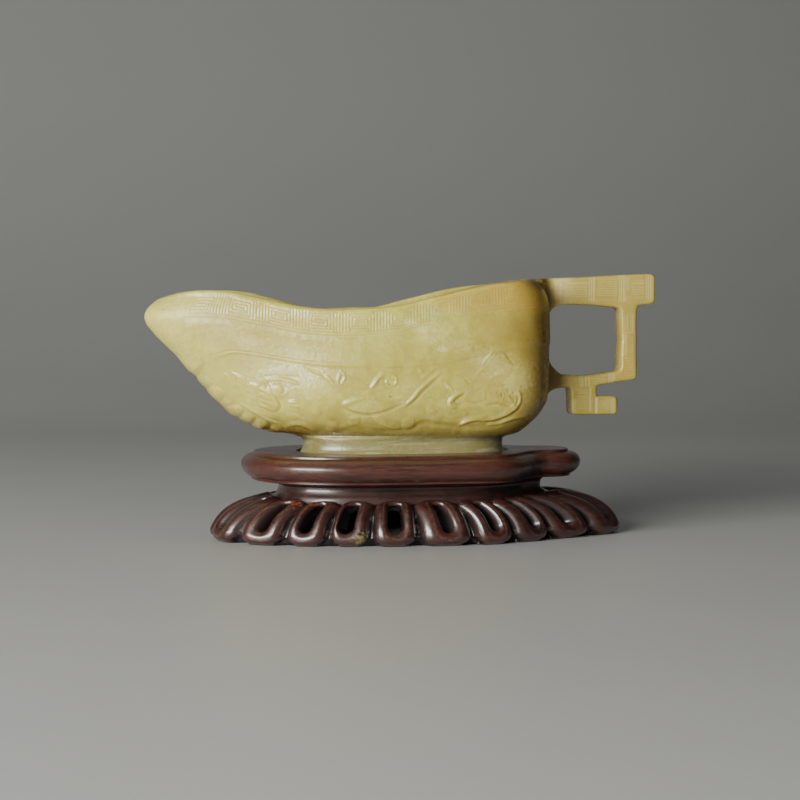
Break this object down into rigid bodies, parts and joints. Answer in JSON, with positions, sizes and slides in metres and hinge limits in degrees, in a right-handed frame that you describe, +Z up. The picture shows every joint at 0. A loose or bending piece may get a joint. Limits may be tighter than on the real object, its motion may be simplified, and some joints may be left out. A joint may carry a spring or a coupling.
{
  "type": "jade pouring vessel",
  "caption": "Carved jade pouring vessel with a rounded spout and an angular scroll handle, lifting off its fitted hardwood stand.",
  "frame": {"origin": "on the ground plane, at the middle of the whole object's bounding box", "axes": "+X from the spout to the handle, +Z up, the object is mirror symmetric about the XZ plane"},
  "size_m": [0.1672, 0.068, 0.0851],
  "materials": {
    "jade": "polished yellowish celadon jade with cloudy pale patches and a faint russet tint",
    "hardwood_board": "dark reddish brown hardwood, waxed and worn along its edges",
    "hardwood_base": "dark reddish brown carved hardwood, waxed and worn along its edges"
  },
  "bodies": {
    "stand": {"stand_top_board": "hardwood_board", "stand_petal_base": "hardwood_base"},
    "vessel": {"jade_vessel": "jade"}
  },
  "joints": [
    {"name": "vessel_lift", "type": "slide", "parent": "stand", "child": "vessel", "axis": [0, 0, 1], "range_m": [0, 0.06]}
  ]
}
